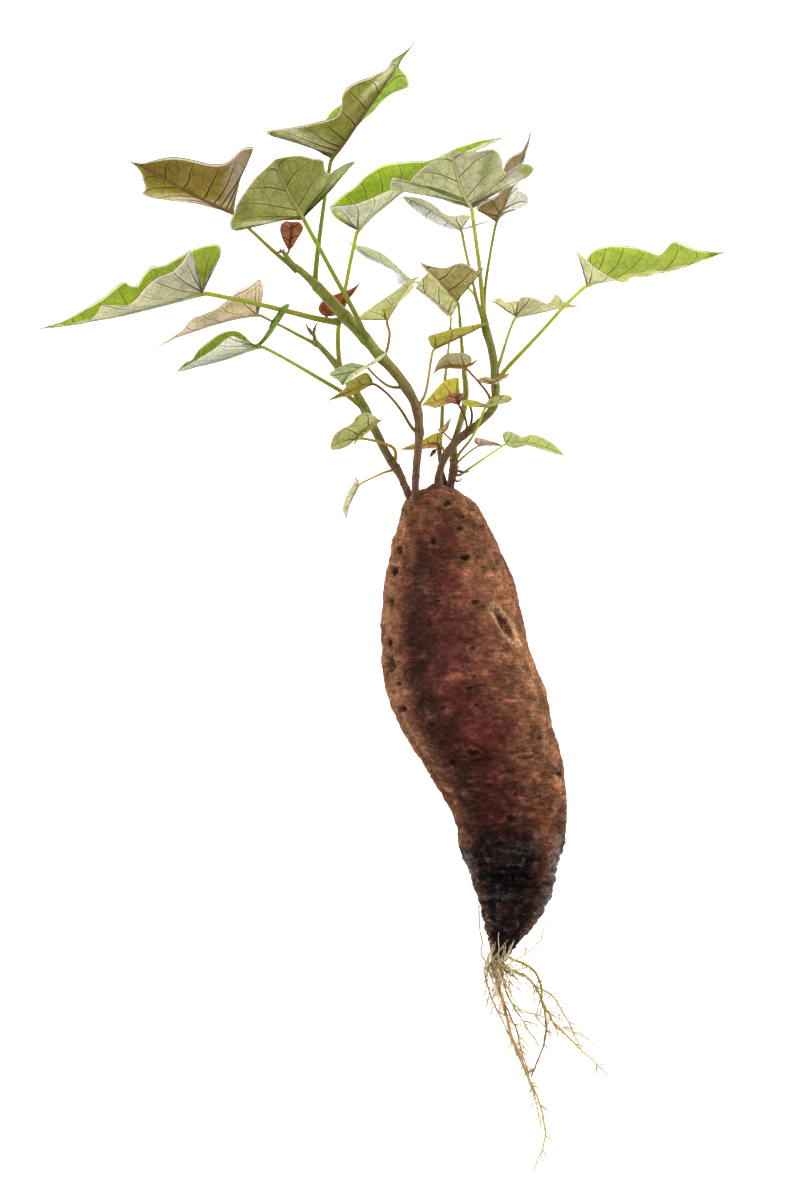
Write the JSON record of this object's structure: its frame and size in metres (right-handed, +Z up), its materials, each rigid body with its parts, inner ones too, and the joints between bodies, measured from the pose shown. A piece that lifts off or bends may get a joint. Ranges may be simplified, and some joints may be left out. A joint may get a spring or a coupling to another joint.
{
  "type": "sprouted sweet potato",
  "caption": "Sprouted sweet potato root lying on its side, with leafy shoots growing from its crown and thin fibrous roots at its tapered tip.",
  "frame": {"origin": "centre of the bounding box's bottom face, on the surface the root lies on", "axes": "+Y along the length, from the fibrous root tip towards the shoots; +Z up, away from the surface; +X across"},
  "size_m": [0.2878, 0.4784, 0.0923],
  "materials": {
    "root_skin": "matt wrinkled skin, darker and waxy towards the tip",
    "shoot": "satin, purple-brown low down and green above",
    "leaf_olive": "thin, satin, translucent",
    "leaf_green": "thin, satin, translucent",
    "leaf_bright_green": "thin, satin, translucent",
    "leaf_pale": "thin, satin, translucent",
    "leaf_yellow": "thin, satin, translucent",
    "leaf_bronze": "thin, satin, translucent",
    "leaf_red": "thin, satin, translucent",
    "bud": "satin",
    "fibrous_root": "dry, matt"
  },
  "bodies": {
    "root": {"tuber": "root_skin", "shoot_front_left": "shoot", "shoot_left": "shoot", "shoot_right": "shoot", "shoot_back_right": "shoot", "shoot_back_centre": "shoot", "leaf_top": "leaf_olive", "leaf_centre": "leaf_green", "leaf_upper_left": "leaf_bronze", "leaf_red_upper": "leaf_red", "leaf_left_large": "leaf_bright_green", "leaf_left_purple": "leaf_bronze", "leaf_left_lower": "leaf_bright_green", "leaf_centre_green": "leaf_bright_green", "leaf_right_pale": "leaf_pale", "leaf_right_bronze": "leaf_bronze", "leaf_back_right": "leaf_pale", "leaf_mid_olive": "leaf_olive", "leaf_mid_back": "leaf_bronze", "leaf_right_small": "leaf_pale", "leaf_far_right": "leaf_bright_green", "leaf_right_lower": "leaf_bright_green", "leaf_mid_narrow": "leaf_olive", "leaf_mid_yellow": "leaf_yellow", "leaf_yellow_low": "leaf_yellow", "leaf_purple_low": "leaf_red", "leaf_left_mid": "leaf_green", "leaf_left_dark": "leaf_olive", "leaf_left_curled": "leaf_green", "leaf_low_left": "leaf_pale", "leaf_red_mid": "leaf_red", "leaf_centre_fold": "leaf_yellow", "leaf_back_pale": "leaf_bright_green", "leaf_node_bud": "leaf_bronze", "leaf_two_lobed": "leaf_bright_green", "leaf_low_pink": "leaf_bronze", "leaf_low_olive": "leaf_olive", "leaf_tiny_orange": "leaf_red", "leaf_tiny_red": "leaf_red", "bud_front_left": "bud", "bud_left": "bud", "bud_low_right": "bud", "roots_long": "fibrous_root", "roots_right": "fibrous_root", "roots_fine": "fibrous_root", "roots_left_hair": "fibrous_root"}
  },
  "joints": []
}
